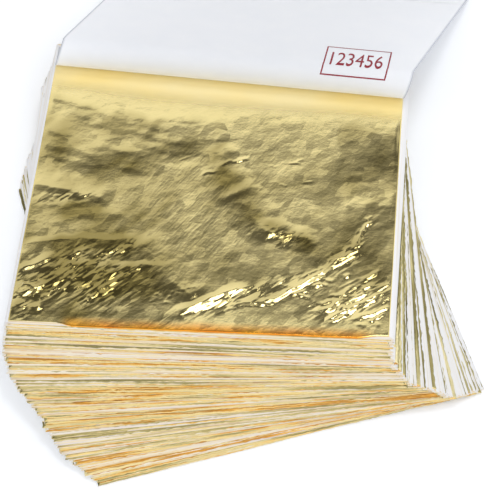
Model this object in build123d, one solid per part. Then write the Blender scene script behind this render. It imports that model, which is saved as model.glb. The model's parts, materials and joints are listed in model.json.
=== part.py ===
"""A pack of imitation gold leaf, fanned out on a table.

Each square gold leaf lies on its own slightly larger square of white tissue. The loose pairs
are stacked on a plain back sheet, and the stack has been twisted by hand, so that it fans.
A white cover sheet is folded back over the rear margin of the first leaf in a loose roll,
slopes down behind the stack and ends flat on the table.

Frame: the origin is the middle of the back sheet's underside, +Z is up, and +Y points to the
back edge of the lowest sheets. All lengths are millimetres and all angles are degrees.
"""

from build123d import *
import math
import os

# Sheets: a tissue shows all round its leaf, and more on the right, because it lies off centre
leaf_side = 140.0
leaf_thickness = 0.015
tissue_margin = 1.3
tissue_offset = 0.5
tissue_thickness = 0.035
air_gap = 0.01
paper_thickness = 0.1

# Count: 25 packets of 8 leaves, and the first leaf is taken from the top packet
packet_count = 25
leaves_per_packet = 8

# Fan: how far the top packet is turned and moved from the lowest one, and how it gets there
fan_angle = 19.7
fan_slide = 41.0
fan_drift = 6.5
fan_level_shares = (0.0, 0.22, 0.44, 0.63, 0.74, 0.85, 1.0)
fan_turn_shares = (0.0, 0.345, 0.60, 0.80, 0.87, 0.97, 1.0)
fan_slide_shares = (0.0, 0.137, 0.317, 0.52, 0.66, 0.785, 1.0)
fan_drift_shares = (0.0, -0.42, -0.18, -0.56, -0.66, -0.38, 0.18)
step_shares = (1.0, 0.6, 1.5, 0.8, 1.2, 0.5, 1.4, 0.9)

# Scatter: how loosely the sheets of one packet lie on each other
scatter = 0.35
scatter_turn = 0.12

# Cover: its margin lies on the first leaf, the fold is a little askew, and the end lies flat
fold_setback = 13.4
fold_slant = 4.9
roll_radius = 6.3
flap_lean = 11.4
table_bend_radius = 30.0
table_end = 20.0
crease_gap = 0.1
overrun = 40.0
slope_steps = 40

tissue_side = leaf_side + 2 * tissue_margin
cover_side = leaf_side
leaf_pitch = tissue_thickness + leaf_thickness + 2 * air_gap
packet_height = leaves_per_packet * leaf_pitch
stack_base = paper_thickness + air_gap


def share_at(level, shares):
    """The share at a level from 0, the lowest packet, to 1, the top one."""
    for low, high, start, end in zip(fan_level_shares, fan_level_shares[1:], shares, shares[1:]):
        if level <= high:
            return start + (end - start) * (level - low) / (high - low)
    return shares[-1]


def packet_levels():
    """How far along the fan each packet is, with uneven steps, as hands leave them."""
    steps = [step_shares[i % len(step_shares)] for i in range(packet_count - 1)]
    return [sum(steps[:i]) / sum(steps) for i in range(packet_count)]


def packet_place(index):
    """The place of a packet's middle, at the packet's underside, with its turn about Z."""
    level = packet_levels()[index]
    x = fan_drift * share_at(level, fan_drift_shares)
    y = fan_slide * share_at(level, fan_slide_shares)
    z = stack_base + index * packet_height
    turn = -fan_angle * share_at(level, fan_turn_shares)
    return Location((x, y, z), (0, 0, turn))


def loose_place(index, sheet, z):
    """A sheet's place in its packet: its height, and a small slip and turn of its own."""
    wave = index * leaves_per_packet + sheet
    x = scatter * math.sin(2.4 * wave)
    y = scatter * math.cos(1.7 * wave)
    turn = scatter_turn * math.sin(1.1 * wave)
    return Location((x, y, z), (0, 0, turn))


def square_sheet(side, thickness):
    """A flat square sheet that lies on the plane Z = 0."""
    return Box(side, side, thickness, align=(Align.CENTER, Align.CENTER, Align.MIN))


def tissue_at(index, sheet):
    """One tissue of a packet."""
    place = packet_place(index) * loose_place(index, sheet, sheet * leaf_pitch)
    return place * Location((tissue_offset, 0, 0)) * square_sheet(tissue_side, tissue_thickness)


def leaf_at(index, sheet):
    """One gold leaf, which lies on its tissue."""
    z = sheet * leaf_pitch + tissue_thickness + air_gap
    place = packet_place(index) * loose_place(index, sheet, z)
    return place * square_sheet(leaf_side, leaf_thickness)


def packet_sheets(make_sheet, index):
    """The tissues or leaves of a packet. The top packet has lost its last pair, the first leaf."""
    count = leaves_per_packet - 1 if index == packet_count - 1 else leaves_per_packet
    return Compound(children=[make_sheet(index, sheet) for sheet in range(count)])


def fold_place():
    """The fold line's frame on the first leaf: X along the fold, Y to the back, Z up."""
    fold_middle = Location((0, cover_side / 2 - fold_setback, packet_height))
    return packet_place(packet_count - 1) * fold_middle * Location((0, 0, 0), (0, 0, -fold_slant))


# The cover's profile lies across the fold, with X to the back and Y up from the roll's middle.
# Its length is measured along the paper's middle line, from where the roll leaves the margin.
paper_half = paper_thickness / 2
fold_half = cover_side / 2 / math.cos(math.radians(fold_slant))
lean = math.radians(flap_lean)
roll_height = paper_thickness + air_gap + paper_half + roll_radius
axis_height = fold_place().position.Z + roll_height
top_length = math.pi * roll_radius
end_length = (cover_side - fold_setback) * math.cos(lean)


def slope_angle():
    """The slope down from the roll that leaves the wanted length flat on the table, by halving."""
    bends = roll_radius + table_bend_radius
    length = end_length - top_length - table_end
    low, high = 0, math.pi / 2
    for _ in range(slope_steps):
        angle = (low + high) / 2
        drop = bends * (1 - math.cos(angle)) + (length - bends * angle) * math.sin(angle)
        if drop < axis_height + roll_radius - paper_half:
            low = angle
        else:
            high = angle
    return angle


slope = slope_angle()
flap_slope = math.degrees(slope)
exit_length = top_length + slope * roll_radius
slope_drop = axis_height + roll_radius * math.cos(slope) - paper_half
slope_drop -= table_bend_radius * (1 - math.cos(slope))
slope_length = slope_drop / math.sin(slope)
slope_end = Vector(
    roll_radius * math.sin(slope) + slope_length * math.cos(slope),
    roll_radius * math.cos(slope) - slope_drop,
)
bend_middle = slope_end + table_bend_radius * Vector(math.sin(slope), math.cos(slope))
crease_point = bend_middle - table_bend_radius * Vector(math.sin(slope / 2), math.cos(slope / 2))
crease_length = exit_length + slope_length + table_bend_radius * slope / 2
table_length = crease_length + table_bend_radius * slope / 2


def cover_margin():
    """The strip of the cover that lies flat between the fold and the first leaf's rear edge."""
    half = cover_side / 2
    offset = half * math.tan(math.radians(fold_slant))
    outline = Polyline(
        (-half, fold_setback), (half, fold_setback), (half, -offset), (-half, offset), close=True
    )
    strip = extrude(make_face(outline), paper_thickness)
    return fold_place() * Location((0, 0, 0), (0, 0, fold_slant)) * strip


def half_bend(offset, start):
    """Half of the bend where the flap meets the table, less half of the crease's gap."""
    gap = math.degrees(crease_gap / table_bend_radius) / 2
    turn = flap_slope / 2 - gap
    start_angle = -90 - flap_slope if start else -90 - turn
    return CenterArc(bend_middle, table_bend_radius - offset, start_angle, turn)


def flap_line(offset):
    """One face of the flap's profile: round the roll, down the slope and into the bend."""
    roll = CenterArc((0, 0), roll_radius + offset, -90, -180 - flap_slope)
    bend = half_bend(offset, True)
    return [roll, Line(roll @ 1, bend @ 0), bend]


def end_line(offset):
    """One face of the profile of the cover's end: out of the bend and along the table."""
    bend = half_bend(offset, False)
    return [bend, Line(bend @ 1, bend @ 1 + cover_side * (bend % 1))]


def bent_paper(face_line):
    """Paper with one profile all along the fold, wider than the cover."""
    upper = face_line(paper_half)
    lower = face_line(-paper_half)
    ends = [Line(upper[0] @ 0, lower[0] @ 0), Line(upper[-1] @ 1, lower[-1] @ 1)]
    return extrude(Plane.YZ * make_face(upper + lower + ends), cover_side + overrun, both=True)


def side_offset(length):
    """How far the cover has crept along the fold at a length, because it leans to the right."""
    return length * math.tan(lean)


def front_cutter():
    """What the cover's sides leave of the roll ahead of its top. They creep as they climb it."""
    rise = roll_radius + overrun
    creep = side_offset(top_length) * rise / (2 * roll_radius)
    middle = side_offset(top_length) / 2
    outline = Polyline(
        (middle - creep - fold_half, -rise), (middle - creep + fold_half, -rise),
        (middle + creep + fold_half, rise), (middle + creep - fold_half, rise), close=True
    )
    return extrude(Plane.XZ * make_face(outline), rise)


def rear_cutter():
    """The cover's outline from above, behind the roll's top. Its far edge is square to its sides."""
    half_width = fold_half * math.cos(lean)
    end_middle = bend_middle.X + end_length - table_length
    corner_x = half_width * math.cos(lean)
    corner_y = half_width * math.sin(lean)
    outline = Polyline(
        (side_offset(top_length) - fold_half, 0),
        (side_offset(crease_length) - fold_half, crease_point.X),
        (side_offset(end_length) - corner_x, end_middle + corner_y),
        (side_offset(end_length) + corner_x, end_middle - corner_y),
        (side_offset(crease_length) + fold_half, crease_point.X),
        (side_offset(top_length) + fold_half, 0),
        close=True,
    )
    return extrude(make_face(outline), axis_height + overrun, both=True)


def cover_flap():
    """The cover's roll, and its slope down to the middle of the bend at the table."""
    paper = bent_paper(flap_line) & (front_cutter() + rear_cutter())
    return fold_place() * Location((0, 0, roll_height)) * paper


def cover_end():
    """The end of the cover, which comes out of the bend and lies flat on the table."""
    return fold_place() * Location((0, 0, roll_height)) * (bent_paper(end_line) & rear_cutter())


def build():
    """Every node of the pack by name."""
    nodes = {"back_sheet": square_sheet(tissue_side, paper_thickness)}
    for index in range(packet_count):
        nodes[f"tissues_{index + 1:02d}"] = packet_sheets(tissue_at, index)
        nodes[f"gold_leaves_{index + 1:02d}"] = packet_sheets(leaf_at, index)
    nodes["first_tissue"] = tissue_at(packet_count - 1, leaves_per_packet - 1)
    nodes["first_gold_leaf"] = leaf_at(packet_count - 1, leaves_per_packet - 1)
    nodes["cover_margin"] = cover_margin()
    nodes["cover_flap"] = cover_flap()
    nodes["cover_end"] = cover_end()
    return nodes


os.makedirs("parts", exist_ok=True)
for name, shape in build().items():
    export_step(shape, f"parts/{name}.step")
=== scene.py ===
import json
import math

import bmesh
import bpy
import numpy as np
from mathutils import Matrix, Vector


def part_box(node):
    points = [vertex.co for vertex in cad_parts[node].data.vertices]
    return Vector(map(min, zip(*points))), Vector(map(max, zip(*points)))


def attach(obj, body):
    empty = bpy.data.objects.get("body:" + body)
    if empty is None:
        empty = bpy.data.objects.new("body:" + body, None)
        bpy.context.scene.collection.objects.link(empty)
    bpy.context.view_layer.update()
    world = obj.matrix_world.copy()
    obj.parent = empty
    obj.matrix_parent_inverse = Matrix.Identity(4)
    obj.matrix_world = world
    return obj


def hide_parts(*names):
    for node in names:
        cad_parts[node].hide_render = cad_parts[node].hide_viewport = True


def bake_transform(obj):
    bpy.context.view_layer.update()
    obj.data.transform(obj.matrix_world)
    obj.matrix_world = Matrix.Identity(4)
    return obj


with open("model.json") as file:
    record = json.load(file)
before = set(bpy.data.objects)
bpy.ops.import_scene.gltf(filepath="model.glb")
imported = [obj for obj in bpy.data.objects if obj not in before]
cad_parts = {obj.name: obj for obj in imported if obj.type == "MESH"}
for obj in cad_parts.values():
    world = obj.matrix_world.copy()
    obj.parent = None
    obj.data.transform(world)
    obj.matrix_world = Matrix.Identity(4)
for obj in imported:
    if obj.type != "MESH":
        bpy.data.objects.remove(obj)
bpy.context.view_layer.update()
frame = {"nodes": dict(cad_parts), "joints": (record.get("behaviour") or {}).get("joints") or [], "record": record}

MM = 0.001


# Camera: a long lens looks down at the pack from the front and a little from the left.
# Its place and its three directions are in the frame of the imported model.
def add_object(name, data):
    """A new object in the scene."""
    made = bpy.data.objects.new(name, data)
    bpy.context.scene.collection.objects.link(made)
    return made


camera_place = Vector((-0.1106, -0.5396, 0.6948))
camera_right = Vector((0.96604, -0.25478, -0.04312))
camera_up = Vector((0.22352, 0.74015, 0.63421))
camera_axes = Matrix((camera_right, camera_up, camera_right.cross(camera_up))).transposed()
camera = add_object("camera", bpy.data.cameras.new("camera"))
camera.data.lens = 173.3
camera.data.sensor_width = 36.0
camera.data.clip_start = 0.01
camera.matrix_world = Matrix.Translation(camera_place) @ camera_axes.to_4x4()
bpy.context.scene.camera = camera
bpy.context.scene.view_settings.view_transform = "Standard"


# Studio: a white sweep behind the table, a darker ceiling over it and a white wall behind the
# camera, as the foil mirrors them. One soft lamp hangs over the right rear of the pack.
def add_node(tree, kind, settings=None, inputs=None):
    """A node with its settings. Each of its inputs gets a value or another node's output."""
    made = tree.nodes.new(kind)
    for name, value in (settings or {}).items():
        setattr(made, name, value)
    for slot, value in (inputs or {}).items():
        if isinstance(value, bpy.types.NodeSocket):
            tree.links.new(value, made.inputs[slot])
        else:
            made.inputs[slot].default_value = value
    return made


def math_node(tree, operation, *values):
    """The result of a Math node. Each of its values is a number or another node's output."""
    made = add_node(tree, "ShaderNodeMath", {"operation": operation}, dict(enumerate(values)))
    return made.outputs[0]


def times(tree, first, second):
    return math_node(tree, "MULTIPLY", first, second)


def ramp(tree, factor, stops):
    """A colour ramp from (position, colour) stops."""
    made = add_node(tree, "ShaderNodeValToRGB", inputs={"Fac": factor})
    band = made.color_ramp
    while len(band.elements) < len(stops):
        band.elements.new(1.0)
    for element, (position, colour) in zip(band.elements, stops):
        element.position = position
        element.color = (*colour, 1.0)
    return made.outputs["Color"]


world = bpy.data.worlds.new("studio")
bpy.context.scene.world = world
world.use_nodes = True
sky = world.node_tree
sky.nodes.clear()
level_scale = 1.6


def sky_level(share, stops):
    """The sky's brightness from (share, level) stops."""
    return ramp(sky, share, [(position, (level / level_scale,) * 3) for position, level in stops])


direction = add_node(sky, "ShaderNodeTexCoord").outputs["Generated"]
towards = add_node(sky, "ShaderNodeSeparateXYZ", inputs={0: direction}).outputs
rear_level = sky_level(math_node(sky, "MULTIPLY_ADD", towards["Y"], 0.5, 0.5), (
    (0.0, 1.2), (0.36, 1.15), (0.48, 0.80), (0.60, 0.30), (0.70, 0.12), (0.765, 0.14),
    (0.785, 0.27), (0.800, 0.38), (0.820, 0.46), (0.830, 0.85), (0.838, 1.0), (1.0, 1.0),
))
side_level = sky_level(math_node(sky, "ABSOLUTE", towards["X"]), (
    (0.0, 0.0), (0.42, 0.0), (0.75, 1.1), (1.0, 1.1),
))
mirrored_level = times(sky, math_node(sky, "MAXIMUM", rear_level, side_level), level_scale)
camera_level = add_node(sky, "ShaderNodeLightPath").outputs["Is Camera Ray"]
background = add_node(sky, "ShaderNodeBackground", inputs={
    "Color": (0.985, 0.99, 1.0, 1.0),
    "Strength": math_node(sky, "MAXIMUM", mirrored_level, camera_level),
})
add_node(sky, "ShaderNodeOutputWorld", inputs={"Surface": background.outputs[0]})

lamp_towards = Vector((0.25, 0.20, 0.947)).normalized()
lamp_distance = 1.1
lamp_data = bpy.data.lights.new("soft_lamp", "AREA")
lamp_data.shape = "SQUARE"
lamp_data.size = 0.34
lamp_data.energy = 2.0
lamp = add_object("soft_lamp", lamp_data)
lamp.location = lamp_towards * lamp_distance
lamp.rotation_mode = "QUATERNION"
lamp.rotation_quaternion = lamp_towards.to_track_quat("Z", "Y")


# Table: a plain white top, just under the back sheet. It keeps the pack's soft shadow, and glows
# a little where it is seen straight on, in metal or through glass.
def new_material(name):
    """A material with an empty tree."""
    made = bpy.data.materials.new(name)
    made.use_nodes = True
    made.node_tree.nodes.clear()
    return made


table_half = 3.0
table_drop = 0.1 * MM
table_glow = 0.17
table_corners = [(x * table_half, y * table_half, -table_drop)
                 for x, y in ((-1, -1), (1, -1), (1, 1), (-1, 1))]
table_mesh = bpy.data.meshes.new("table_top")
table_mesh.from_pydata(table_corners, [], [(0, 1, 2, 3)])
table_top = add_object("table_top", table_mesh)
table_paint = new_material("table_white")
tree = table_paint.node_tree
path = add_node(tree, "ShaderNodeLightPath").outputs
seen = math_node(tree, "MAXIMUM", path["Is Camera Ray"], path["Is Glossy Ray"])
seen = math_node(tree, "MAXIMUM", seen, path["Is Transmission Ray"])
matt = add_node(tree, "ShaderNodeBsdfDiffuse", inputs={"Color": (0.90, 0.92, 0.95, 1.0)})
glow = add_node(tree, "ShaderNodeEmission", inputs={"Strength": times(tree, seen, table_glow)})
both = add_node(tree, "ShaderNodeAddShader", inputs={0: matt.outputs[0], 1: glow.outputs[0]})
add_node(tree, "ShaderNodeOutputMaterial", inputs={"Surface": both.outputs[0]})
table_mesh.materials.append(table_paint)


# Back sheet: a plain white sheet under the whole stack, of the same paper as the cover. It is
# cut square and lies flat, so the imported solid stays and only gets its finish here.
def surface(name, finish):
    """A material with one Principled shader. The finish gives what its inputs get."""
    made = new_material(name)
    tree = made.node_tree
    shader = add_node(tree, "ShaderNodeBsdfPrincipled", inputs=finish(tree))
    add_node(tree, "ShaderNodeOutputMaterial", inputs={"Surface": shader.outputs[0]})
    return made


def pattern_place(tree, where, count, stretch, turn):
    """Places for a pattern with a count of spots in a unit of length, drawn out along a line that
    is turned about Z by an angle in degrees."""
    return add_node(tree, "ShaderNodeMapping", {"vector_type": "TEXTURE"}, {
        "Vector": where, "Scale": (stretch / count, 1.0 / count, 1.0 / count),
        "Rotation": (0.0, 0.0, math.radians(turn)),
    }).outputs[0]


def noise(tree, where, count, detail=2.0, roughness=0.5, stretch=1.0, turn=0.0):
    """A noise pattern with a count of spots in a unit of length."""
    return add_node(tree, "ShaderNodeTexNoise", inputs={
        "Vector": pattern_place(tree, where, count, stretch, turn), "Scale": 1.0,
        "Detail": detail, "Roughness": roughness,
    }).outputs["Fac"]


def bump(tree, height, depth, strength=1.0):
    """The normal of a surface that a pattern raises. The depth is its real height in metres."""
    return add_node(tree, "ShaderNodeBump", inputs={
        "Height": height, "Strength": strength, "Distance": depth,
    }).outputs[0]


def mixed(tree, factor, low, high):
    """A blend of two colours or outputs."""
    ends = [end if isinstance(end, bpy.types.NodeSocket) else (*end, 1.0) for end in (low, high)]
    made = add_node(tree, "ShaderNodeMix", {"data_type": "RGBA"}, {0: factor, 6: ends[0], 7: ends[1]})
    return made.outputs[2]


def stored(tree, name):
    """A value that the mesh stores."""
    return add_node(tree, "ShaderNodeAttribute", {"attribute_name": name}).outputs["Fac"]


def object_place(tree):
    return add_node(tree, "ShaderNodeTexCoord").outputs["Object"]


def paper_finish(tree):
    """Smooth white paper: faint clouds from the pulp, a fine felt grain, and a grey painted shade along the
    cover's side edges.
    """
    place = object_place(tree)
    clouds = noise(tree, place, 90.0, detail=5.0, roughness=0.6)
    tone = ramp(tree, clouds, [(0.3, (0.865, 0.885, 0.935)), (0.7, (0.89, 0.905, 0.945))])
    felt = noise(tree, place, 2500.0, detail=3.0)
    return {
        # The grey at the sides is painted shade along the cover's edges
        "Base Color": mixed(tree, stored(tree, "edge"), tone, (0.42, 0.44, 0.50)),
        "Roughness": 0.75, "Specular IOR Level": 0.3, "Subsurface Weight": 0.35,
        "Subsurface Radius": (1.0, 1.0, 1.0), "Subsurface Scale": 0.6 * MM,
        "Normal": bump(tree, felt, depth=0.01 * MM, strength=0.5),
    }


cover_paper = surface("cover_paper", paper_finish)
back_sheet = frame["nodes"]["back_sheet"]
back_sheet.data.materials.clear()
back_sheet.data.materials.append(cover_paper)


# Packets: eight pairs of tissue and gold leaf each, twenty-five packets in the fan. The tissues
# are thin white squares, cut clean. The leaves are beaten metal with torn, uneven edges.
leaf_side = 140.0 * MM
tissue_side = 142.6 * MM
tissue_offset = 0.5 * MM
leaf_thickness = 0.015 * MM
tissue_thickness = 0.035 * MM
leaf_pitch = 0.07 * MM
leaf_lift = 0.045 * MM
leaves_per_packet = 8
packet_count = 25

# How loosely the sheets lie on each other: each slips and turns by a wave of its own
sheet_slip = 0.35 * MM
sheet_twist = math.radians(0.12)
slip_wave_x, slip_wave_y, twist_wave = 2.4, 1.7, 1.1


def ring(half, per_side):
    """The corners of a square ring, counter-clockwise, with per_side points on each side."""
    steps = np.linspace(-half, half, per_side, endpoint=False)
    side = np.stack([steps, np.full(per_side, -half)], axis=1)
    turns = [np.array(((c, -s), (s, c))) for c, s in ((1, 0), (0, 1), (-1, 0), (0, -1))]
    return np.concatenate([side @ t.T for t in turns])


def thin_mesh(name, points, faces, rim_start, side=None):
    """A closed thin mesh. Its faces are smooth, but sharp from the rim's first one on. With a side,
    its UV is spread over a square of that side."""
    made = bpy.data.meshes.new(name)
    made.from_pydata(points.tolist(), [], faces)
    made.shade_smooth()
    sharp = made.attributes.new("sharp_face", "BOOLEAN", "FACE")
    sharp.data.foreach_set("value", np.arange(len(faces)) >= rim_start)
    if side is not None:
        layer = made.uv_layers.new(name="UVMap")
        corner = np.zeros(len(made.loops), np.int32)
        made.loops.foreach_get("vertex_index", corner)
        layer.data.foreach_set("uv", (points[corner, :2] / side + 0.5).ravel().astype(np.float32))
    return made


def sheet_blank(name, side, thickness, insets, per_side):
    """A closed thin square, with close rings at its border and wide ones within. A ring may have
    half as many points as the one around it."""
    rings = [ring(side / 2 - inset, count) for inset, count in zip(insets, per_side)]
    flat = np.concatenate(rings + [np.zeros((1, 2))])
    starts = np.cumsum([0] + [len(r) for r in rings])
    top = []
    for outer, inner, n, m in zip(starts, starts[1:], map(len, rings), map(len, rings[1:])):
        for i in range(m):
            j = (i + 1) % m
            if m == n:
                top.append((outer + i, outer + j, inner + j, inner + i))
            else:
                a, b, c = outer + 2 * i, outer + 2 * i + 1, outer + (2 * i + 2) % n
                top += [(a, b, inner + i), (b, inner + j, inner + i), (b, c, inner + j)]
    last, centre = len(rings[-1]), len(flat) - 1
    first = starts[len(rings) - 1]
    top += [(first + i, first + (i + 1) % last, centre) for i in range(last)]
    count = len(flat)
    faces = top + [tuple(count + v for v in reversed(face)) for face in top]
    edge = len(rings[0])
    faces += [(count + i, count + (i + 1) % edge, (i + 1) % edge, i) for i in range(edge)]
    points = np.zeros((2 * count, 3))
    points[:, :2] = np.concatenate([flat, flat])
    points[:count, 2] = thickness
    return thin_mesh(name, points, faces, len(faces) - edge, side)


def vector_node(tree, operation, *values):
    """The result of a Vector Math node."""
    made = add_node(tree, "ShaderNodeVectorMath", {"operation": operation}, dict(enumerate(values)))
    return made.outputs[0]


def vector_of(tree, x=0.0, y=0.0, z=0.0):
    """A vector from three numbers or outputs."""
    return add_node(tree, "ShaderNodeCombineXYZ", inputs={"X": x, "Y": y, "Z": z}).outputs[0]


def packet_tree():
    """Stacks one blank with small slips and turns, fans the stack a little, and frays each sheet's
    border in its plane. The step and its turn are those from one packet to the next."""
    tree = bpy.data.node_groups.new("packet_of_sheets", "GeometryNodeTree")
    tree.interface.new_socket("Geometry", in_out="OUTPUT", socket_type="NodeSocketGeometry")
    tree.interface.new_socket("Blank", in_out="INPUT", socket_type="NodeSocketGeometry")
    kinds = {"Count": "Int", "First": "Int", "Step": "Vector", "Material": "Material"}
    usual = {"Half": leaf_side / 2, "Left Share": 1.0}
    sheet_seed_step, side_seed_step, luck_scale = 7.31, 3.7, 100.0
    sway_per_metre, fray_per_metre, border_power = 22.0, 420.0, 8.0
    names = {}
    for name in ("Count", "First", "Slip", "Twist", "Step", "Step Turn", "Half",
                 "Side Spread", "End Spread", "Side Jut", "End Jut", "Left Share", "Sway", "Fray",
                 "Seed", "Material"):
        kind = "NodeSocket" + kinds.get(name, "Float")
        made = tree.interface.new_socket(name, in_out="INPUT", socket_type=kind)
        if name in usual:
            made.default_value = usual[name]
        names[name] = made.identifier
    given = add_node(tree, "NodeGroupInput").outputs

    rank = add_node(tree, "GeometryNodeInputIndex").outputs[0]
    order = math_node(tree, "ADD", rank, given["First"])

    def calc(operation, *values):
        return math_node(tree, operation, *values)

    def wave(operation, speed, amount):
        return times(tree, calc(operation, times(tree, order, speed)), amount)

    fan = calc("SUBTRACT", calc("DIVIDE", calc("ADD", rank, 0.5), leaves_per_packet), 0.5)
    slip = vector_of(tree, wave("SINE", slip_wave_x, given["Slip"]),
                     wave("COSINE", slip_wave_y, given["Slip"]))
    offset = vector_node(tree, "ADD", slip, vector_node(tree, "MULTIPLY", given["Step"], fan))
    turn = calc("ADD", wave("SINE", twist_wave, given["Twist"]),
                times(tree, fan, given["Step Turn"]))
    line = add_node(tree, "GeometryNodeMeshLine",
                    inputs={"Count": given["Count"], "Offset": (0.0, 0.0, leaf_pitch)})
    moved = add_node(tree, "GeometryNodeSetPosition",
                     inputs={"Geometry": line.outputs[0], "Offset": offset})
    copies = add_node(tree, "GeometryNodeInstanceOnPoints", inputs={
        "Points": moved.outputs[0], "Instance": given["Blank"], "Rotation": vector_of(tree, z=turn),
    })
    own = add_node(tree, "GeometryNodeStoreNamedAttribute", {"data_type": "FLOAT", "domain": "INSTANCE"},
                   {"Geometry": copies.outputs[0], "Name": "sheet_number", "Value": order})
    real = add_node(tree, "GeometryNodeRealizeInstances", inputs={0: own.outputs[0]})

    number = add_node(tree, "GeometryNodeInputNamedAttribute", {"data_type": "FLOAT"},
                      {"Name": "sheet_number"})
    place = add_node(tree, "GeometryNodeInputPosition").outputs[0]
    where = add_node(tree, "ShaderNodeSeparateXYZ", inputs={0: place}).outputs
    shifts = []
    for across, along, border, power in (("X", "Y", "Side", 5.0), ("Y", "X", "End", 1.0)):
        side = calc("SIGN", where[across])
        seed = calc("ADD", times(tree, number.outputs["Attribute"], sheet_seed_step), given["Seed"])
        seed = calc("ADD", seed, times(tree, side, side_seed_step))
        luck = add_node(tree, "FunctionNodeRandomValue", {"data_type": "FLOAT"},
                        {"ID": times(tree, seed, luck_scale)})
        jut = times(tree, calc("POWER", luck.outputs[1], power), given[border + " Jut"])
        total = calc("ADD", given[border + " Spread"], jut)
        if border == "Side":
            at_left = calc("LESS_THAN", where["X"], 0.0)
            less = times(tree, at_left, calc("SUBTRACT", 1.0, given["Left Share"]))
            total = times(tree, total, calc("SUBTRACT", 1.0, less))
        for amount, per_metre in ((given["Sway"], sway_per_metre), (given["Fray"], fray_per_metre)):
            spot = vector_of(tree, times(tree, where[along], per_metre), seed)
            fringe = add_node(tree, "ShaderNodeTexNoise", {"noise_dimensions": "2D"},
                              {"Vector": spot, "Scale": 1.0, "Detail": 2.0})
            centred = times(tree, calc("SUBTRACT", fringe.outputs["Fac"], 0.5), 2.0)
            total = calc("ADD", total, times(tree, centred, amount))
        from_middle = calc("DIVIDE", calc("ABSOLUTE", where[across]), given["Half"])
        reach = calc("POWER", from_middle, border_power)
        shifts.append(times(tree, times(tree, total, reach), side))
    frayed = add_node(tree, "GeometryNodeSetPosition", inputs={
        "Geometry": real.outputs[0], "Offset": vector_of(tree, *shifts),
    })
    painted = add_node(tree, "GeometryNodeSetMaterial", inputs={
        "Geometry": frayed.outputs[0], "Material": given["Material"],
    })
    add_node(tree, "NodeGroupOutput", inputs={0: painted.outputs[0]})
    return tree, names


def plain_mesh(maker):
    """The plain mesh that an object makes. The object itself is removed."""
    bpy.context.view_layer.update()
    ready = maker.evaluated_get(bpy.context.evaluated_depsgraph_get())
    mesh = bpy.data.meshes.new_from_object(ready)
    bpy.data.objects.remove(maker)
    return mesh


stacker, stacker_names = packet_tree()


def grown(name, blank, values, place):
    """Stacks a blank with the packet's tree, and keeps the result as a plain mesh at its place."""
    maker = add_object(name + "_maker", blank)
    modifier = maker.modifiers.new("grow", "NODES")
    modifier.node_group = stacker
    for key, value in values.items():
        modifier[stacker_names[key]] = value
    mesh = plain_mesh(maker)
    mesh.name = name
    mesh.transform(place)
    return add_object(name, mesh)


def sheet_place(tree):
    return add_node(tree, "ShaderNodeUVMap", {"uv_map": "UVMap"}).outputs[0]


# How far apart the patterns of two sheets lie, so that each has its own
sheet_apart = 3.17


def along_border(tree, sheet, number, along, depth):
    """Places for streaks that run along a sheet's border, with their counts on the sheet's side
    along the border and away from it. Then what is at a side, and what is well inside the sheet."""
    split = add_node(tree, "ShaderNodeSeparateXYZ", inputs={0: sheet}).outputs
    to_side, to_end = [math_node(tree, "ABSOLUTE", math_node(tree, "SUBTRACT", split[axis], 0.5))
                       for axis in "XY"]
    outwards = math_node(tree, "MAXIMUM", to_side, to_end)
    run = math_node(tree, "ADD", split["X"], split["Y"])
    place = vector_of(tree, times(tree, run, along), times(tree, outwards, depth),
                      times(tree, number, sheet_apart))
    at_side = math_node(tree, "GREATER_THAN", to_side, to_end)
    waver = times(tree, noise(tree, sheet, 9.0, detail=4.0), 0.04)
    inside = add_node(tree, "ShaderNodeMapRange", {"interpolation_type": "SMOOTHSTEP"}, {
        "Value": math_node(tree, "ADD", outwards, waver), "From Min": 0.497, "From Max": 0.465,
    })
    return place, at_side, inside.outputs[0]


def tissue_finish(tree):
    """Thin white tissue: pale yellow and pinkish streaks at its ends are a painted reflection of the gold beside
    them, and its thin dark brown streaks are painted shade between the sheets.
    """
    sheet = sheet_place(tree)
    place, at_side, inside = along_border(tree, sheet, stored(tree, "sheet_number"), 2.5, 170.0)
    warm = noise(tree, place, 1.0)
    # Painted reflection of the gold at the sheet's ends; the darkest stop is painted shade between the sheets
    painted_reflection_and_shade = ramp(tree, warm, [
        (0.30, (0.50, 0.31, 0.14)), (0.37, (0.76, 0.60, 0.40)), (0.46, (0.92, 0.77, 0.52)),
        (0.55, (0.93, 0.86, 0.73)), (0.68, (0.83, 0.74, 0.69)),
    ])
    white = ramp(tree, warm, [
        (0.32, (0.86, 0.81, 0.72)), (0.45, (0.92, 0.90, 0.88)), (0.6, (0.92, 0.92, 0.93)),
    ])
    fibres = noise(tree, sheet, 260.0, detail=4.0, stretch=3.0)
    return {
        "Base Color": mixed(tree, inside, mixed(tree, at_side, painted_reflection_and_shade, white), (0.91, 0.90, 0.89)),
        "Roughness": 0.9, "Specular IOR Level": 0.2, "Normal": bump(tree, fibres, depth=0.02 * MM),
    }


def tilted_cells(tree, where, count, stretch, turn, amount):
    """Flat cells that each tilt the surface their own way: count of them on a side, drawn out and
    turned. The amount is the widest tilt."""
    place = pattern_place(tree, where, count, stretch, turn)
    cells = add_node(tree, "ShaderNodeTexVoronoi", {"voronoi_dimensions": "2D"},
                     {"Vector": place, "Scale": 1.0})
    centred = vector_node(tree, "SUBTRACT", cells.outputs["Color"], (0.5, 0.5, 0.5))
    tilt = add_node(tree, "ShaderNodeVectorMath", {"operation": "SCALE"}, {0: centred, "Scale": amount})
    return tilt.outputs[0]


def tilted(tree, normal, *tilts):
    """A normal with tilts added to it."""
    for tilt in tilts:
        normal = vector_node(tree, "ADD", normal, tilt)
    return vector_node(tree, "NORMALIZE", normal)


def ranged(tree, share, start, end):
    """A value that a share from 0 to 1 takes from start to end."""
    ends = {"Value": share, "To Min": start, "To Max": end}
    return add_node(tree, "ShaderNodeMapRange", inputs=ends).outputs[0]


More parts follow.
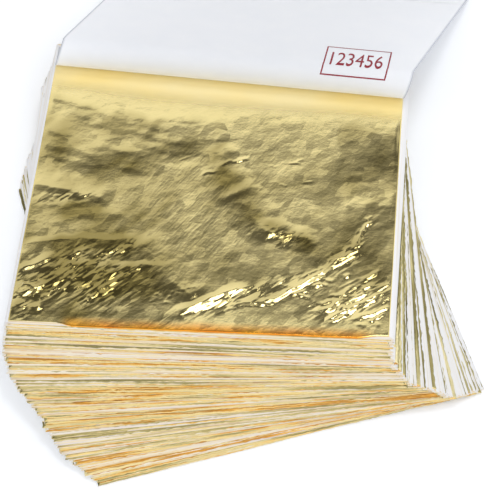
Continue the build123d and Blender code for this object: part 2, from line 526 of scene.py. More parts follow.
def leaf_finish(tree):
    """Beaten brass leaf at the edge of the stack. Its streaks run from olive and khaki to ochre and orange at the
    ends of a sheet, and are a darker olive at its sides. The orange is partly the leaf's own tone and partly a
    painted reflection of the warm light between the gold sheets, and the darkest streaks are painted shade between
    the sheets. Sheets that lie together share some of their tint."""
    sheet = sheet_place(tree)
    number = stored(tree, "sheet_number")
    place, at_side, inside = along_border(tree, sheet, number, 3.0, 90.0)
    streaks = noise(tree, place, 1.0)
    batches_per_sheet, usual_tint, batch_share = 0.11, 0.42, 0.45
    batch = vector_of(tree, times(tree, number, batches_per_sheet), 0.37, 0.61)
    batch_tint = math_node(tree, "SUBTRACT", noise(tree, batch, 1.0, detail=1.0), usual_tint)
    tint = math_node(tree, "ADD", streaks, times(tree, batch_tint, batch_share))
    # The darkest stops are painted shade between the sheets, and the orange ones are partly a painted warm
    # reflection between them
    khaki = ramp(tree, tint, [
        (0.30, (0.30, 0.26, 0.11)), (0.41, (0.52, 0.43, 0.18)), (0.48, (0.80, 0.67, 0.36)),
        (0.56, (0.90, 0.70, 0.30)), (0.63, (0.76, 0.38, 0.07)), (0.68, (0.50, 0.24, 0.05)),
        (0.76, (0.88, 0.72, 0.36)),
    ])
    # Its darkest stop is painted shade between the sheets
    olive = ramp(tree, streaks, [
        (0.34, (0.16, 0.14, 0.05)), (0.50, (0.44, 0.38, 0.16)), (0.62, (0.90, 0.80, 0.46)),
    ])
    clouds = ramp(tree, noise(tree, sheet, 9.0, detail=6.0, roughness=0.65),
                  [(0.35, (0.55, 0.45, 0.18)), (0.55, (0.92, 0.78, 0.38))])
    crumpled = bump(tree, noise(tree, sheet, 110.0, detail=5.0, roughness=0.65), depth=0.40 * MM)
    crinkles = tilted_cells(tree, sheet, 50.0, 2.0, 30.0, times(tree, inside, 0.22))
    return {
        "Base Color": mixed(tree, inside, mixed(tree, at_side, khaki, olive), clouds),
        "Metallic": 1.0, "Roughness": ranged(tree, noise(tree, sheet, 60.0, detail=3.0), 0.22, 0.50),
        "Normal": tilted(tree, crumpled, crinkles),
    }


tissue_paper = surface("tissue_paper", tissue_finish)
edge_gold = surface("gold_leaf_edge", leaf_finish)

# How far in from the border the rings of a blank lie
leaf_insets = (0.0, 0.9 * MM, 3.0 * MM, 12.0 * MM)
tissue_insets = (0.0, 3.0 * MM, 14.0 * MM)
leaf_blank = sheet_blank("leaf_blank", leaf_side, leaf_thickness, leaf_insets, (112, 112, 56, 28))
tissue_blank = sheet_blank("tissue_blank", tissue_side, tissue_thickness, tissue_insets, (40, 40, 20))
joints = {joint["name"]: joint for joint in frame["joints"]}
couplings = frame["record"]["behaviour"]["couplings"]
shares = {c["joint"]: c["ratio"] for c in couplings if c["follows"] == "fan_25"}
shares["fan_25"] = 1.0
full_turn = math.radians(joints["fan_25"]["range_deg"][1])


def packet_place(index):
    """A packet's place at rest: squared on the lowest one, then turned back about its own pivot."""
    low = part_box(f"tissues_{index:02d}")[0].z
    lift = Matrix.Translation((0.0, 0.0, low))
    if index == 1:
        return lift
    joint = f"fan_{index:02d}"
    pivot = Matrix.Translation(joints[joint]["pos_m"][:2] + [0.0])
    turn = Matrix.Rotation(-full_turn * shares[joint], 4, "Z")
    return lift @ pivot @ turn @ pivot.inverted()


def dress(piece, body, node):
    """Lets a piece move with its body, and stand for its node."""
    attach(piece, body)
    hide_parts(node)


# The lowest packets' leaves reach out most at the sides, and the left side is neater than the right
lowest_packets = 7
left_uneven_below = 12
left_uneven_share = 0.4
for index in range(1, packet_count + 1):
    body = "base" if index == 1 else f"packet_{index:02d}"
    place = packet_place(index)
    count = leaves_per_packet - 1 if index == packet_count else leaves_per_packet
    if index < packet_count:
        to_next = place.inverted() @ packet_place(index + 1)
        step, step_turn = (*to_next.translation.xy, 0.0), to_next.to_euler().z
    low_share = max(0.0, 1.0 - index / lowest_packets)
    common = {"Count": count, "First": (index - 1) * leaves_per_packet, "Slip": sheet_slip,
              "Twist": sheet_twist, "Step": step, "Step Turn": step_turn}
    tissues = grown(
        f"tissue_packet_{index:02d}", tissue_blank,
        {**common, "Half": tissue_side / 2, "Sway": 0.35 * MM, "Seed": 11.0, "Material": tissue_paper},
        place @ Matrix.Translation((tissue_offset, 0.0, 0.0)),
    )
    dress(tissues, body, f"tissues_{index:02d}")
    leaves = grown(
        f"leaf_packet_{index:02d}", leaf_blank,
        {**common, "Side Spread": 0.3 * MM + low_share * 0.7 * MM, "Side Jut": 2.6 * MM,
         "End Spread": 0.35 * MM, "End Jut": 1.6 * MM, "Sway": 0.7 * MM, "Fray": 0.6 * MM,
         "Left Share": left_uneven_share if index < left_uneven_below else 0.0, "Seed": 3.0,
         "Material": edge_gold},
        place @ Matrix.Translation((0.0, 0.0, leaf_lift)),
    )
    dress(leaves, body, f"gold_leaves_{index:02d}")


# First sheet: the large leaf that shows, crinkled where it was lifted and laid down again, on
# its own tissue. It is loose, and slides off the stack towards the front.
first_index = packet_count * leaves_per_packet - 1
first_offset = Vector((
    sheet_slip * math.sin(slip_wave_x * first_index), sheet_slip * math.cos(slip_wave_y * first_index),
    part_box("first_tissue")[0].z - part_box(f"tissues_{packet_count:02d}")[0].z,
))
first_place = packet_place(packet_count) @ Matrix.Translation(first_offset)
first_tissue = grown(
    "first_tissue_sheet", tissue_blank,
    {"Count": 1, "First": first_index, "Half": tissue_side / 2, "Sway": 0.2 * MM, "Seed": 5.0,
     "Material": tissue_paper},
    first_place @ Matrix.Translation((tissue_offset, 0.0, 0.0)),
)
dress(first_tissue, "first_sheet", "first_tissue")

# Places on the leaf are in millimetres from its middle: u to its right and v to its rear
leaf_half = leaf_side / 2 / MM
leaf_cells = 280
steps = np.linspace(-leaf_half, leaf_half, leaf_cells + 1)
u, v = np.meshgrid(steps, steps, indexing="ij")


def smooth(edge0, edge1, value):
    """0 before the first edge, 1 after the second, and smooth between them."""
    t = np.clip((value - edge0) / (edge1 - edge0), 0.0, 1.0)
    return t * t * (3.0 - 2.0 * t)


def turned(x, y, angle):
    """Places in axes that are turned by an angle in degrees."""
    c, s = math.cos(math.radians(angle)), math.sin(math.radians(angle))
    return x * c + y * s, y * c - x * s


def lattice(size, seed, turn, stretch, across, along):
    """Random heights at the corners of a turned grid, and each point's place in its cell."""
    repeat, start = 64, 200.0
    heights = np.random.default_rng(seed).uniform(-1.0, 1.0, (repeat, repeat))
    x, y = turned(across, along, turn)
    x, y = x / (size * stretch) + start, y / size + start
    i, j = np.floor(x).astype(int), np.floor(y).astype(int)
    corners = [heights[(i + a) % repeat, (j + b) % repeat] for a in (0, 1) for b in (0, 1)]
    return corners, x - i, y - j


def cloud(size, seed, turn=0.0, stretch=1.0):
    """Smooth noise from -1 to 1, with spots of the given size in millimetres."""
    (h00, h01, h10, h11), fx, fy = lattice(size, seed, turn, stretch, u, v)
    fx, fy = fx * fx * (3 - 2 * fx), fy * fy * (3 - 2 * fy)
    return (h00 * (1 - fy) + h01 * fy) * (1 - fx) + (h10 * (1 - fy) + h11 * fy) * fx


# The foil's folds are never straight, so their places are taken from a grid that wanders
wander_u = u + 1.8 * cloud(12.0, 21) + 0.8 * cloud(4.0, 22) + 0.22 * cloud(1.4, 25)
wander_v = v + 1.8 * cloud(12.0, 23) + 0.8 * cloud(4.0, 24) + 0.22 * cloud(1.4, 26)


def facets(size, seed, turn=0.0, stretch=1.0):
    """Flat triangles that meet in sharp creases, from -1 to 1."""
    (h00, h01, h10, h11), fx, fy = lattice(size, seed, turn, stretch, wander_u, wander_v)
    near = h00 + fx * (h10 - h00) + fy * (h01 - h00)
    far = h11 + (1 - fx) * (h01 - h11) + (1 - fy) * (h10 - h11)
    return np.where(fx + fy < 1, near, far)


def crease(start, end, rise, front, back, soft=6.0):
    """A fold of the foil from start to end, in millimetres of the leaf. It rises at its line, and
    runs out at the front distance on its front side and the back distance on its back side."""
    (x0, y0), (x1, y1) = start, end
    length = math.hypot(x1 - x0, y1 - y0)
    tx, ty = (x1 - x0) / length, (y1 - y0) / length
    along = (wander_u - x0) * tx + (wander_v - y0) * ty
    across = -(wander_u - x0) * ty + (wander_v - y0) * tx
    slope = np.where(across > 0, 1.0 - across / back, 1.0 + across / front)
    fade = smooth(-soft, soft, along) * smooth(-soft, soft, length - along)
    return rise * np.clip(slope, 0.0, 1.0) * fade


def spot(place, reach_u, reach_v, turn=0.0):
    """A soft patch of the foil, from 1 in its middle to 0 well outside its reach."""
    du, dv = turned(wander_u - place[0], wander_v - place[1], turn)
    return np.exp(-(du / reach_u) ** 2 - (dv / reach_v) ** 2)


# Where the foil is waved, wispy and crumpled
waved = smooth(8.0, -22.0, u) * smooth(-4.0, 12.0, v) * smooth(60.0, 44.0, v)
wispy = np.maximum.reduce([
    spot((-8, -14), 24, 34), 0.6 * spot((-24, 2), 8, 16, -25), 0.7 * spot((20, 2), 18, 26),
])
crumpled = np.maximum.reduce([
    spot((-42, -47), 27, 15, 5), spot((54, -52), 17, 8, 25), 0.8 * spot((24, -24), 12, 6, -30),
    0.7 * spot((60, -20), 7, 22), 0.6 * spot((-58, -12), 14, 6), 0.7 * spot((20, -54), 22, 5, 25),
    spot((-66, -54), 5, 12),
])
relief = 0.11 * cloud(34.0, 4) + 0.045 * facets(16.0, 5) + 0.010 * cloud(3.2, 6)
relief += waved * (0.045 * cloud(2.6, 7, -14.0, 4.0) + 0.018 * cloud(1.4, 8, -6.0, 4.0))
relief += wispy * (0.016 * cloud(1.5, 9, 62.0, 5.0) + 0.020 * facets(3.6, 10, 40.0, 2.0))
relief += crumpled * (0.07 * facets(2.6, 11, 36.0, 2.2) + 0.03 * cloud(1.3, 12, 48.0, 2.5))
relief += 0.012 * facets(5.0, 13, 20.0, 1.6)

# The rear band leans back to the fold, down from a wavy border, and mirrors the white wall
band_u = (-72, -65, -48, -29, -10, 10, 30, 47, 58, 72)
band_v = (46, 42, 37, 32, 32, 31, 30, 33, 31, 29)
before_band = np.interp(wander_u, band_u, band_v) - wander_v
band = smooth(3.0, -3.0, before_band)
relief *= 1.0 - 0.75 * band
band_front = 15.0 + 15.0 * smooth(-15.0, 20.0, u)
band_rise = 0.40 - 0.04 * smooth(-15.0, 20.0, u)
relief += band_rise * smooth(band_front, 0.0, before_band) * (1.0 - smooth(0.0, 17.0, -before_band))

# Its folds: start, end, rise, how far they reach to the front and to the back, and their soft ends
folds = (
    # the smile-shaped fold at the rear left, and the dark hollow before it
    (-68, 24, -46, 11, 0.40, 11, 22, 6), (-46, 11, -18, 19, 0.38, 12, 20, 6),
    (-20, 19, 2, 21, 0.22, 8, 16, 6),
    # the smooth tongue at the left edge, and the ripples before it
    (-72, -4, -42, -10, 0.30, 4, 9, 3), (-72, -16, -48, -13, 0.10, 2.5, 3, 5),
    (-60, -22, -34, -15, 0.08, 3, 3, 5),
    # the dark corner at the front left
    (-70, -33, -30, -28, 0.50, 20, 3, 9), (-60, -44, -16, -41, 0.36, 18, 2, 12),
    (-26, -29, -4, -56, 0.50, 8, 10, 3),
    # the dark run down the middle, which turns right at its end
    (2, 17, 8, -6, 0.60, 9, 9, 4), (8, -4, 22, -24, 0.60, 9, 10, 3), (20, -22, 38, -28, 0.40, 5, 7, 3),
    (36, -26, 43, -36, 0.30, 5, 6, 3),
    # the two facets at the rear right, and the one before them
    (44, 30, 72, 27, 0.40, 26, 10, 7), (50, -10, 72, -8, 0.30, 16, 12, 3),
    (24, 4, 46, 8, 0.14, 12, 14, 5),
    # the bright fold along the front, and its run up to the right edge
    (-8, -64.5, 14, -50.5, 0.72, 2.9, 3.6, 6), (12, -59, 30, -54, 0.20, 0.8, 1.5, 5),
    (28, -55, 42, -44, 0.28, 1.1, 1.8, 6), (38, -47, 53, -34, 0.38, 1.5, 2.2, 6),
    (50, -37, 61, -18, 0.26, 1.0, 1.6, 7),
    # the facets at the front left
    (-69, -47, -57, -39, 0.50, 2.0, 2.5, 2.5), (-70, -56, -60, -54, 0.90, 3.6, 3, 1.5),
    (-70, -64, -58, -63, 0.80, 3.2, 3, 1.5),
    # the bright patch at the front right
    (42, -60, 56, -51, 0.34, 1.4, 1.8, 5), (50, -60, 64, -52, 0.30, 1.2, 1.6, 5),
    (58, -61, 70, -56, 0.26, 1.0, 1.4, 4), (54, -54, 68, -46, 0.30, 1.2, 1.6, 5),
)
for x0, y0, x1, y1, rise, front, back, soft in folds:
    relief += crease((x0, y0), (x1, y1), rise, front, back, soft)


fleck_front_slope, fleck_back_slope = 0.27, 0.18


def flecks(start, end, spread, count, length, rise, seed):
    """A chain of short sharp folds about a line, each a little turned from it."""
    rng = np.random.default_rng(seed)
    run = math.atan2(end[1] - start[1], end[0] - start[0])
    chain = np.zeros_like(u)
    for _ in range(count):
        share, off = rng.uniform(0, 1), rng.normal(0, spread)
        x = start[0] + (end[0] - start[0]) * share - off * math.sin(run)
        y = start[1] + (end[1] - start[1]) * share + off * math.cos(run)
        turn = run + rng.normal(0, 0.25)
        reach = rng.uniform(0.4, 1.0) * length
        tall = rng.uniform(0.4, 1.0) * rise
        chain += crease((x, y), (x + reach * math.cos(turn), y + reach * math.sin(turn)), tall,
                        tall / fleck_front_slope, tall / fleck_back_slope, 0.4 * reach)
    return chain


# Chains of small bright folds: start, end, spread, count, length, rise and seed
chains = (
    ((-58, -60), (-46, -36), 1.3, 40, 2.2, 0.20, 31), ((-50, -50), (-28, -30), 1.3, 52, 2.2, 0.20, 32),
    ((-44, -62), (-24, -42), 1.1, 52, 2.4, 0.24, 33), ((-20, -58), (-4, -52), 2.0, 18, 1.6, 0.16, 34),
    ((-62, -50), (-36, -44), 3.2, 34, 1.8, 0.16, 43), ((46, -59), (66, -47), 3.6, 40, 5.0, 0.28, 35),
    ((14, -58), (46, -42), 1.8, 26, 3.5, 0.22, 36), ((52, -34), (62, -12), 1.0, 24, 2.4, 0.22, 37),
    ((60, -66), (67, -58), 1.4, 16, 2.2, 0.26, 38), ((-64, -52), (-62, -68), 2.0, 22, 1.8, 0.24, 39),
    ((-4, -64), (34, -52), 1.6, 12, 9.0, 0.26, 47), ((28, -54), (52, -34), 1.4, 10, 9.0, 0.24, 48),
    ((44, -58), (62, -50), 3.0, 18, 8.0, 0.26, 49), ((48, -36), (60, -18), 1.4, 6, 7.0, 0.22, 50),
    ((18, -22), (36, -26), 1.8, 18, 1.8, 0.16, 40), ((-8, 1), (8, 10), 0.3, 5, 6.0, 0.20, 41),
    ((-14, 9), (0, 16), 0.4, 4, 6.0, 0.14, 44), ((16, 8), (32, 13), 0.5, 6, 5.0, 0.12, 45),
    ((24, 0), (34, 2), 0.4, 3, 4.0, 0.12, 46), ((-68, -13), (-46, -8), 1.0, 18, 1.6, 0.14, 42),
)
for chain in chains:
    relief += flecks(*chain)

# Its border is calmer, and it is pressed flat under the cover, up to the fold. Elsewhere it lies a
# little above its tissue, and its lowest places are soft
fold_setback = 13.4 * MM
fold_slant = math.radians(4.9)
pressed_to, lift_reach = 14.0, 16.0
lift, softest = 0.16, 0.05
from_side = leaf_half - np.abs(u)
relief *= 0.3 + 0.7 * smooth(0.0, 2.0, np.minimum(from_side, leaf_half - np.abs(v)))
fold_distance = leaf_half - fold_setback / MM - math.tan(fold_slant) * u - v
relief *= smooth(0.5, pressed_to, fold_distance)
relief += lift * smooth(0.0, lift_reach, from_side) * smooth(0.5, lift_reach, fold_distance)
relief = 0.5 * (relief + np.sqrt(relief ** 2 + softest ** 2))

# The closed cover slants up from the fold, so the foil stays low near it
fold_gap, slant_share = 0.02, 0.036
limit = fold_gap + slant_share * np.maximum(fold_distance, 0.0)
softness = np.minimum(0.10, limit)
under = np.clip(0.5 + 0.5 * (limit - relief) / softness, 0.0, 1.0)
relief = limit * (1.0 - under) + relief * under - softness * under * (1.0 - under)

# Its front edge: a lip that reaches past the tissue, with an orange painted reflection on it
lip_reach, lip_rise, strip_rise = 1.5, 0.12, 0.32
lip = smooth(-52, -46, u) * smooth(67, 58, u) * smooth(-66.0, -leaf_half, v + 0.5 * cloud(9.0, 51))
front_strip = smooth(-61.0, -leaf_half, v)
relief *= 1.0 - 0.8 * front_strip
relief += strip_rise * front_strip * smooth(-16, -4, u) + lip_rise * lip

# Painted shade on the gold, over a little random tone: darker patches in its hollows, its dark runs, its front
# left corner and a facet at the right; a few patches are painted lighter, and the ridges and the rear band stay
# pale
# A dark facet at the right, painted shade with a sharp left edge
right_facet_shade = smooth(46.2, 47.4, wander_u) * smooth(36.0, 33.0, wander_v) * smooth(-12.0, 6.0, wander_v)
painted_shade_and_tone = np.clip(sum((
    0.95 * spot((-44, -50), 27, 13, 4), 0.8 * spot((-46, -31), 24, 7, 8), 0.5 * spot((-50, -17), 20, 5),
    0.55 * spot((-32, 8), 26, 8, 10), 0.15 * spot((-4, 19), 20, 5, 4), 0.7 * spot((4, 8), 6, 12, 20),
    0.8 * spot((15, -13), 6, 13, 38), 0.7 * spot((34, -28), 11, 4, -25), 0.25 * right_facet_shade,
    0.6 * spot((50, -26), 8, 9), 0.5 * spot((-64, 17), 8, 9), 0.4 * spot((64, -40), 8, 8),
    0.5 * spot((-40, -66), 24, 4), 0.35 * spot((-44, -18), 26, 18), 0.4 * spot((-46, 28), 28, 12),
    0.15 * spot((0, -22), 20, 30),
    -0.4 * spot((14, 25), 30, 13), -0.4 * spot((36, -65), 46, 7), 0.4 * spot((-24, -50), 12, 10),
    0.15 + 0.25 * cloud(9.0, 61) + 0.2 * cloud(3.0, 62, 50.0, 2.5),
)), 0.0, 1.0) * (1.0 - band) * (1.0 - 0.7 * spot((30, -66.5), 42, 2.5))
# Where the bright reflection of the white roll is painted on: near the roll the foil turns a warm pale colour,
# less metallic and rougher
roll_paint_u = (-72, -40, -10, 30, 72)
roll_paint_v = (47, 42, 39, 37, 35)
roll_reflection_paint = smooth(-4.0, 9.0, v - np.interp(u, roll_paint_u, roll_paint_v) - 1.5 * cloud(24.0, 71))
# Where it glitters: along the chains of small folds
glint = np.maximum.reduce([
    spot((-52, -48), 13, 2.6, 63), spot((-39, -40), 14, 2.6, 42), spot((-34, -52), 14, 2.4, 45),
    0.6 * spot((-44, -50), 24, 12), 0.8 * spot((56, -54), 15, 6, 28), 0.9 * spot((14, -55), 22, 4, 24),
    0.9 * spot((48, -38), 16, 3.5, 52), 0.5 * spot((28, -25), 10, 4, -20), spot((-64, -56), 5, 12),
    0.5 * spot((-58, -11), 12, 2.5, 10),
])


def grid_quads(rows, columns):
    """The faces of a grid of points, which are numbered row by row."""
    i, j = np.meshgrid(np.arange(rows - 1), np.arange(columns - 1), indexing="ij")
    first = (i * columns + j).ravel()
    return np.stack([first, first + columns, first + columns + 1, first + 1], axis=1)


def grid_border(rows, columns):
    """The points round the border of such a grid, in order."""
    return np.concatenate([
        np.arange(rows) * columns, (rows - 1) * columns + np.arange(1, columns),
        np.arange(rows - 2, -1, -1) * columns + columns - 1, np.arange(columns - 2, 0, -1),
    ])


def foil_mesh(name, height):
    """A closed foil over the grid, with its height in millimetres. Its flat underside is coarser."""
    coarse = 4
    n, wide = leaf_cells + 1, leaf_cells // coarse + 1
    front = v - lip_reach * lip
    top = np.stack([u, front, height], axis=2).reshape(-1, 3) * MM
    base = np.stack([u, front, 0 * u], axis=2)[::coarse, ::coarse].reshape(-1, 3) * MM
    base[:, 2] = -leaf_thickness
    upper, lower = grid_border(n, n), grid_border(wide, wide) + len(top)
    faces = grid_quads(n, n).tolist() + (grid_quads(wide, wide)[:, ::-1] + len(top)).tolist()
    rim_start = len(faces)
    for k in range(len(lower)):
        above = [int(upper[(coarse * k + step) % len(upper)]) for step in range(coarse, -1, -1)]
        faces.append([int(lower[k]), int(lower[(k + 1) % len(lower)])] + above)
    made = thin_mesh(name, np.concatenate([top, base]), faces, rim_start, leaf_side)
    # The painted shade and the painted reflection of the roll go to the finish with the other amounts
    amounts = {"painted_shade_and_tone": painted_shade_and_tone, "lip": lip, "glint": glint, "wispy": wispy, "roll_reflection_paint": roll_reflection_paint}
    for key, amount in amounts.items():
        values = np.concatenate([amount.ravel(), amount[::coarse, ::coarse].ravel()])
        made.attributes.new(key, "FLOAT", "POINT").data.foreach_set("value", values)
    return made


def foil_finish(tree):
    """Bright beaten foil: pale gold, with painted shade in its hollows, an orange painted reflection on its front
    lip, and near the roll a warm, dull painted reflection of the white roll, with finer crinkles than the mesh
    holds."""
    sheet = sheet_place(tree)
    near = stored(tree, "roll_reflection_paint")
    pale = ramp(tree, noise(tree, sheet, 14.0, detail=5.0),
                [(0.35, (0.90, 0.755, 0.345)), (0.65, (0.94, 0.79, 0.37))])
    warm = ramp(tree, noise(tree, sheet, 5.0, detail=3.0, stretch=2.0),
                [(0.4, (0.99, 0.80, 0.34)), (0.6, (0.97, 0.83, 0.45))])
    # Orange painted reflection on the front lip
    orange = ramp(tree, noise(tree, sheet, 26.0, detail=3.0, stretch=3.0),
                  [(0.36, (0.88, 0.30, 0.03)), (0.6, (1.0, 0.46, 0.05))])
    # The dark colour is painted shade, laid where its mask says
    colour = mixed(tree, stored(tree, "painted_shade_and_tone"), pale, (0.34, 0.27, 0.09))
    # Painted reflection of the white roll: a warm pale colour near it
    colour = mixed(tree, near, colour, warm)
    grain = times(tree, noise(tree, sheet, 60.0, detail=6.0, roughness=0.62), 0.35)
    wisps = noise(tree, sheet, 150.0, detail=3.0, stretch=7.0, turn=58.0)
    wisps = times(tree, wisps, times(tree, stored(tree, "wispy"), 0.25))
    grained = bump(tree, math_node(tree, "ADD", grain, wisps), depth=0.20 * MM)
    shiny = math_node(tree, "SUBTRACT", 1.0, near)
    wide = tilted_cells(tree, sheet, 56.0, 2.0, 35.0, times(tree, shiny, 0.04))
    chips = tilted_cells(tree, sheet, 150.0, 5.0, 42.0, times(tree, stored(tree, "glint"), 0.55))
    return {
        "Base Color": mixed(tree, stored(tree, "lip"), colour, orange),
        # Near the roll it is less metallic and rougher, so that the painted warm colour shows
        "Metallic": ranged(tree, near, 1.0, 0.15), "Roughness": ranged(tree, near, 0.11, 0.55),
        "Normal": tilted(tree, grained, wide, chips),
    }


first_leaf = add_object("first_leaf_foil", foil_mesh("first_leaf_foil", relief))
first_leaf.data.transform(first_place @ Matrix.Translation((0.0, 0.0, leaf_lift + leaf_thickness)))
first_leaf.data.materials.append(surface("first_leaf_gold", foil_finish))
dress(first_leaf, "first_sheet", "first_gold_leaf")


# Cover: one smooth white sheet. Its rear margin lies on the first leaf, and it is folded back over
# that in a loose roll, slopes down behind the stack and lies flat on the table at its end.
cover_side = 140.0 * MM
paper_thickness = 0.1 * MM
cover_lean = math.radians(11.4)
roll_radius = 6.3 * MM
table_bend = 30.0 * MM
fold = joints["cover_fold"]
crease_joint = joints["cover_crease"]
roll_middle = Vector(fold["pos_m"])
along_fold = Vector(fold["axis"]).normalized()
to_back = Vector((-along_fold.y, along_fold.x, 0.0))
crease_at = Vector(crease_joint["pos_m"])
slope = 2.0 * math.acos(1.0 - (crease_at.z - paper_thickness / 2) / table_bend)
fold_half = cover_side / 2 / math.cos(fold_slant)
crease_x = (crease_at - roll_middle).dot(to_back)
top_length = math.pi * roll_radius
slope_start = roll_radius * math.sin(slope)
bend_x = crease_x + table_bend * math.sin(slope / 2)
slope_end_x = bend_x - table_bend * math.sin(slope)
bend_z = table_bend + paper_thickness / 2 - roll_middle.z
slope_run = (slope_end_x - slope_start) / math.cos(slope)
crease_length = top_length + slope * roll_radius + slope_run + table_bend * slope / 2
end_length = (cover_side - fold_setback) * math.cos(cover_lean)
end_x = bend_x + end_length - crease_length - table_bend * slope / 2


def rear_height(x):
    """The height of the cover's middle line, over the roll's middle, at a distance behind it."""
    on_roll = np.sqrt(np.maximum(roll_radius ** 2 - np.minimum(x, slope_start) ** 2, 0.0))
    on_slope = roll_radius * math.cos(slope) - (x - slope_start) * math.tan(slope)
    on_bend = bend_z - np.sqrt(np.maximum(table_bend ** 2 - (x - bend_x) ** 2, 0.0))
    table = np.full_like(x, bend_z - table_bend)
    return np.select([x < slope_start, x < slope_end_x, x < bend_x], [on_roll, on_slope, on_bend], table)


def creep(length):
    return length * math.tan(cover_lean)


def cover_point(across, x, height):
    """Points of the frame from places along the fold, behind the roll's middle and over it."""
    return (np.array(roll_middle) + across[..., None] * np.array(along_fold)
            + x[..., None] * np.array(to_back) + height[..., None] * np.array((0.0, 0.0, 1.0)))


def roll_front(start, share):
    """The front half of the roll. The share runs from 0 at the fold line to 1 at the roll's top."""
    turn = math.pi * share
    across = start + creep(top_length) * (1 - np.cos(turn)) / 2
    return across, -roll_radius * np.sin(turn), -roll_radius * np.cos(turn)


def roll_rear(start, x):
    """The cover between the roll's top and the bend on the table."""
    across = start + creep(top_length) + (creep(crease_length) - creep(top_length)) * x / crease_x
    return across, x, rear_height(x)


def cover_sheet(name, points):
    """A piece of the cover: a closed thin sheet about a grid of points of its middle. It stores which points are
    on the cover's sides, where the paper's finish paints a grey shade."""
    normal = np.cross(np.gradient(points, axis=0), np.gradient(points, axis=1))
    normal *= paper_thickness / 2 / np.linalg.norm(normal, axis=2, keepdims=True)
    rows, columns = points.shape[:2]
    count = rows * columns
    solid = np.concatenate([(points + normal).reshape(-1, 3), (points - normal).reshape(-1, 3)])
    quads = grid_quads(rows, columns)
    border = grid_border(rows, columns)
    following = np.roll(border, -1)
    rim = np.stack([border + count, following + count, following, border], axis=1)
    faces = np.concatenate([quads, quads[:, ::-1] + count, rim]).tolist()
    made = add_object(name, thin_mesh(name, solid, faces, len(faces) - len(rim)))
    # The cover's sides, which get a grey painted shade in the paper's finish
    at_side = np.zeros((2, rows, columns))
    at_side[:, [0, -1]] = 1.0
    painted_edge_shade = made.data.attributes.new("edge", "FLOAT", "POINT")
    painted_edge_shade.data.foreach_set("value", at_side.ravel())
    made.data.materials.append(cover_paper)
    return made


def cover_grid(low, high, count, skip=0):
    """A grid of places across the cover and of steps along it, without the first ones."""
    return np.meshgrid(width_steps, np.linspace(low, high, count)[skip:], indexing="ij")


# How many points of the grid lie across the cover, and along each of its parts
width_count = 141
margin_count, roll_count, slope_count, before_bend_count, end_count = 12, 49, 90, 30, 40
width_steps = np.linspace(-fold_half, fold_half, width_count)
start, share = cover_grid(0.0, 1.0, margin_count)
margin_depth = math.cos(fold_slant) * (fold_setback + start * math.sin(fold_slant))
back = margin_depth * (1 - share)
margin_points = cover_point(start - back * math.tan(fold_slant), back, np.full_like(start, -roll_radius))
margin = cover_sheet("cover_margin_sheet", margin_points)
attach(margin, "packet_25")
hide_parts("cover_margin")

# The flap's sheet ends just before the bend at the table begins
bend_reach = 12.0 * MM
bend_clearance = 1.0 * MM
split_x = crease_x - bend_reach - bend_clearance
start, share = cover_grid(0.0, 1.0, roll_count)
front_points = cover_point(*roll_front(start, share))
start, x = cover_grid(0.0, split_x, slope_count, skip=1)
rear_points = cover_point(*roll_rear(start, x))
flap = cover_sheet("cover_flap_sheet", np.concatenate([front_points, rear_points], axis=1))
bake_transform(flap)
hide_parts("cover_flap")

start, x = cover_grid(split_x, crease_x, before_bend_count)
slope_points = cover_point(*roll_rear(start, x))
start, share = cover_grid(0.0, 1.0, end_count, skip=1)
half_width = fold_half * math.cos(cover_lean)
end_across = creep(end_length) + start / fold_half * half_width * math.cos(cover_lean)
end_back = end_x - start / fold_half * half_width * math.sin(cover_lean)
across = (creep(crease_length) + start) * (1 - share) + end_across * share
x = crease_x * (1 - share) + end_back * share
table_points = cover_point(across, x, rear_height(x))
end_sheet = cover_sheet("cover_end_sheet", np.concatenate([slope_points, table_points], axis=1))
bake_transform(end_sheet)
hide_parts("cover_end")


# Stamp: a thin red frame round a row of plain numbers, printed near the fold with a rubber
# stamp. The ink lies on the cover's paper and bends with it.
stamp_left, stamp_right = 34.3 * MM, 60.1 * MM
stamp_low, stamp_high = 15.0 * MM, 34.6 * MM
stamp_line = 0.55 * MM
stamp_lean, lean_start = 0.22, 20.5 * MM
ink_lift = 0.06 * MM


def ink_finish(tree):
    """Dull red stamp ink, thinner in places where the rubber did not press."""
    press = noise(tree, object_place(tree), 900.0, detail=4.0, roughness=0.7)
    tone = ramp(tree, press, [
        (0.3, (0.20, 0.004, 0.015)), (0.6, (0.30, 0.012, 0.03)), (0.75, (0.5, 0.10, 0.12)),
    ])
    return {"Base Color": tone, "Roughness": 0.7, "Normal": bump(tree, press, depth=0.01 * MM)}


def on_cover(start, length):
    """A point of the ink, from its place along the fold and its length along the paper from the
    fold line."""
    turn, leave = length / roll_radius, math.pi + slope
    if turn < math.pi:
        place = roll_front(start, turn / math.pi)
    elif turn < leave:
        place = roll_rear(start, -roll_radius * math.sin(turn))
    else:
        place = roll_rear(start, slope_start + (length - leave * roll_radius) * math.cos(slope))
    facing = min(turn, leave)
    outwards = to_back * -math.sin(facing) + Vector((0.0, 0.0, -math.cos(facing)))
    return Vector(cover_point(*map(np.array, place))) + outwards * (paper_thickness / 2 + ink_lift)


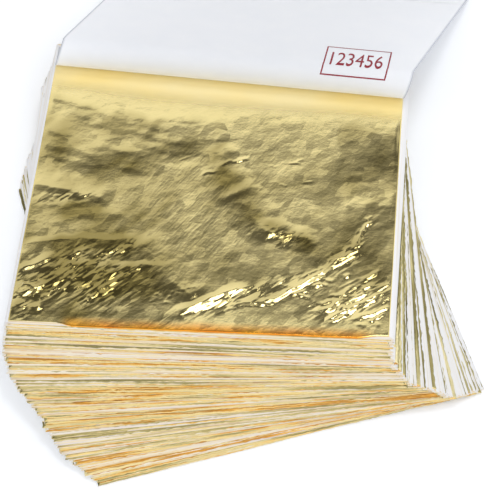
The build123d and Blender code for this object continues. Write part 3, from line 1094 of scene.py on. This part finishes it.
def stamp_strip(left, low, right, high):
    """A flat strip of the frame, in faces of about a millimetre."""
    across, up = [np.linspace(start, end, max(1, round((end - start) / MM)) + 1)
                  for start, end in ((left, right), (low, high))]
    corners = [stamp.verts.new((x, y, 0.0)) for x in across for y in up]
    for face in grid_quads(len(across), len(up)):
        stamp.faces.new([corners[k] for k in face])


stamp = bmesh.new()
for low in (stamp_low, stamp_high - stamp_line):
    stamp_strip(stamp_left, low, stamp_right, low + stamp_line)
for left in (stamp_left, stamp_right - stamp_line):
    stamp_strip(left, stamp_low + stamp_line, left + stamp_line, stamp_high - stamp_line)
numbers_curve = bpy.data.curves.new("stamp_numbers", "FONT")
numbers_curve.body = "123456"
numbers_curve.size = 1.0
numbers_curve.resolution_u = 4
numbers = plain_mesh(add_object("stamp_numbers", numbers_curve))
places = np.array([vertex.co[:2] for vertex in numbers.vertices])
numbers_inset = 2.6 * MM
numbers_height = 10.5 * MM
numbers_width = stamp_right - stamp_left - 2 * numbers_inset
numbers_low = (stamp_low + stamp_high - numbers_height) / 2
stretch = (numbers_width, numbers_height) / (places.max(axis=0) - places.min(axis=0))
numbers.transform(Matrix.Translation((stamp_left + numbers_inset, numbers_low, 0.0))
                  @ Matrix.Diagonal((*stretch, 1.0, 1.0))
                  @ Matrix.Translation((*-places.min(axis=0), 0.0)))
stamp.from_mesh(numbers)
bmesh.ops.triangulate(stamp, faces=stamp.faces[:])

# Cut across, so that it can follow the roll
cut_count = 8
for step in range(cut_count):
    cut = stamp_low + (stamp_high - stamp_low) * (step + 0.5) / cut_count
    bmesh.ops.bisect_plane(stamp, geom=stamp.verts[:] + stamp.edges[:] + stamp.faces[:],
                           plane_co=(0.0, cut, 0.0), plane_no=(0.0, 1.0, 0.0))
for vertex in stamp.verts:
    vertex.co = on_cover(vertex.co.x - stamp_lean * max(0.0, vertex.co.y - lean_start), vertex.co.y)
bmesh.ops.recalc_face_normals(stamp, faces=stamp.faces[:])
stamp_mesh = bpy.data.meshes.new("cover_stamp")
stamp.to_mesh(stamp_mesh)
stamp.free()
stamp_mesh.materials.append(surface("stamp_ink", ink_finish))
stamp_print = add_object("cover_stamp", stamp_mesh)
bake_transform(stamp_print)
